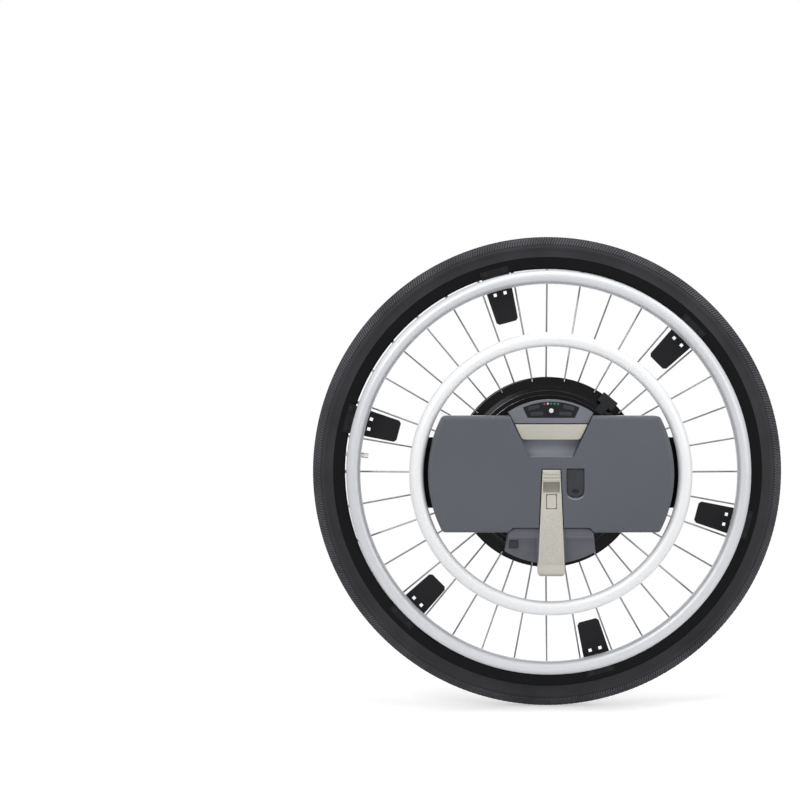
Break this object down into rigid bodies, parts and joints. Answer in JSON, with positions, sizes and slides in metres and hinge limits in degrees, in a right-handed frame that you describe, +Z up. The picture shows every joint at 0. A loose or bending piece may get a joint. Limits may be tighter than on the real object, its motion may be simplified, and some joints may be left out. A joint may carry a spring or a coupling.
{
  "type": "wheelchair power assist drive wheel",
  "caption": "Powered wheelchair drive wheel with hub motor, sprung push rim, control ring, clip-on battery with lock lever, and quick-release axle.",
  "frame": {"origin": "on the axle, where the end of the axle sleeve meets the chair's receiver", "axes": "+Y along the axle towards the chair, +Z up, +X to the right as the outer face is seen"},
  "size_m": [0.59, 0.214, 0.59],
  "materials": {
    "tyre_rubber": "matt black-grey rubber with a fine grained tread",
    "soft_rubber": "matt black rubber",
    "tape": "woven white tape",
    "black_alloy": "satin black anodised alloy",
    "black_paint": "satin black paint",
    "spoke_steel": "drawn stainless wire",
    "bright_metal": "nickel plated",
    "ring_alloy": "satin silver anodised tube",
    "steel": "machined steel",
    "alloy": "machined alloy",
    "lamination": "stacked electrical steel",
    "copper": "enamelled copper wire",
    "magnet": "nickel plated magnet",
    "board": "green circuit board",
    "black_plastic": "fine textured black plastic",
    "slate_plastic": "fine textured slate grey plastic",
    "keypad": "black keypad sheet",
    "light": "clear light windows",
    "champagne": "satin champagne coated metal",
    "cell": "sleeved cells"
  },
  "bodies": {
    "core": {"axle_sleeve": "steel", "axle_nuts": "steel", "bearing_inner_rings": "steel", "stator_carrier": "alloy", "stator_core": "lamination", "stator_windings": "copper", "controller_board": "board", "torque_plate": "alloy", "torque_pins": "steel", "quick_release_pin": "steel", "dock_base": "slate_plastic", "dock_screws": "steel", "contact_block": "black_plastic", "panel_housing": "slate_plastic", "panel_keypad": "keypad", "status_lights": "light", "lower_cover": "slate_plastic", "service_plug": "soft_rubber", "lever_pin": "steel"},
    "wheel": {"tyre": "tyre_rubber", "inner_tube": "soft_rubber", "rim_tape": "tape", "rim": "black_alloy", "valve_stem": "bright_metal", "outer_spokes": "spoke_steel", "inner_spokes": "spoke_steel", "spoke_nipples": "bright_metal", "hub_shell": "black_alloy", "hub_rear_cover": "black_alloy", "hub_cover_screws": "steel", "rotor_ring": "steel", "rotor_magnets": "magnet", "bearing_outer_rings": "steel", "bearing_balls": "steel", "rim_brackets": "black_plastic", "bracket_screws": "steel", "sensor_pod": "black_plastic", "push_rim_bushes": "soft_rubber"},
    "push_rim_body": {"push_rim": "ring_alloy", "push_rim_studs": "steel"},
    "control_ring_body": {"ring_carrier": "black_paint", "control_ring": "ring_alloy", "ring_bushes": "soft_rubber"},
    "battery": {"battery_front_case": "slate_plastic", "battery_rear_case": "slate_plastic", "battery_cells": "cell", "cell_holders": "black_plastic", "battery_board": "board", "grip_plate": "champagne", "charge_socket": "black_plastic", "battery_screws": "steel"},
    "lever": {"lock_lever": "champagne"},
    "latch": {"thumb_latch": "champagne"},
    "lever_key": {"lever_button": "champagne"},
    "flap": {"charge_flap": "soft_rubber"},
    "power_key": {"power_button": "black_plastic"},
    "plunger": {"release_plunger": "steel"},
    "ball_upper": {"lock_ball_upper": "steel"},
    "ball_lower": {"lock_ball_lower": "steel"}
  },
  "joints": [
    {"name": "wheel_spin", "type": "hinge", "parent": "core", "child": "wheel", "pos_m": [0, 0, 0], "axis": [0, 1, 0], "continuous": true},
    {"name": "push_rim_turn", "type": "hinge", "parent": "wheel", "child": "push_rim_body", "pos_m": [0, 0, 0], "axis": [0, 1, 0], "range_deg": [-1.5, 1.5], "stiffness_Nm_per_rad": 180, "deforming": ["push_rim_bushes"]},
    {"name": "control_ring_turn", "type": "hinge", "parent": "core", "child": "control_ring_body", "pos_m": [0, 0, 0], "axis": [0, 1, 0], "range_deg": [-8, 8], "stiffness_Nm_per_rad": 18, "deforming": ["ring_bushes"]},
    {"name": "battery_draw", "type": "slide", "parent": "core", "child": "battery", "axis": [0, -1, 0], "range_m": [0, 0.08]},
    {"name": "lever_swing", "type": "hinge", "parent": "core", "child": "lever", "pos_m": [0, -0.1315, -0.11603], "axis": [1, 0, 0], "range_deg": [0, 115]},
    {"name": "latch_press", "type": "slide", "parent": "lever", "child": "latch", "axis": [0, 1, 0], "range_m": [0, 0.0015], "stiffness_N_per_m": 2000},
    {"name": "lever_button_press", "type": "slide", "parent": "lever", "child": "lever_key", "axis": [0, 1, 0], "range_m": [0, 0.0012], "stiffness_N_per_m": 2000},
    {"name": "charge_flap_swing", "type": "hinge", "parent": "battery", "child": "flap", "pos_m": [0.0295, -0.137, 0.005], "axis": [-1, 0, 0], "range_deg": [0, 110], "stiffness_Nm_per_rad": 0.005},
    {"name": "power_press", "type": "slide", "parent": "core", "child": "power_key", "axis": [0, 1, 0], "range_m": [0, 0.0008], "stiffness_N_per_m": 2500},
    {"name": "release_press", "type": "slide", "parent": "core", "child": "plunger", "axis": [0, 1, 0], "range_m": [0, 0.005], "stiffness_N_per_m": 1500},
    {"name": "lock_ball_upper_slide", "type": "slide", "parent": "core", "child": "ball_upper", "axis": [0, 0, -1], "range_m": [0, 0.0014]},
    {"name": "lock_ball_lower_slide", "type": "slide", "parent": "core", "child": "ball_lower", "axis": [0, 0, 1], "range_m": [0, 0.0014]}
  ],
  "couplings": [
    {"joint": "lever_swing", "follows": "battery_draw", "rad_per_m": 25},
    {"joint": "lock_ball_upper_slide", "follows": "release_press", "ratio": 0.26},
    {"joint": "lock_ball_lower_slide", "follows": "release_press", "ratio": 0.26}
  ]
}
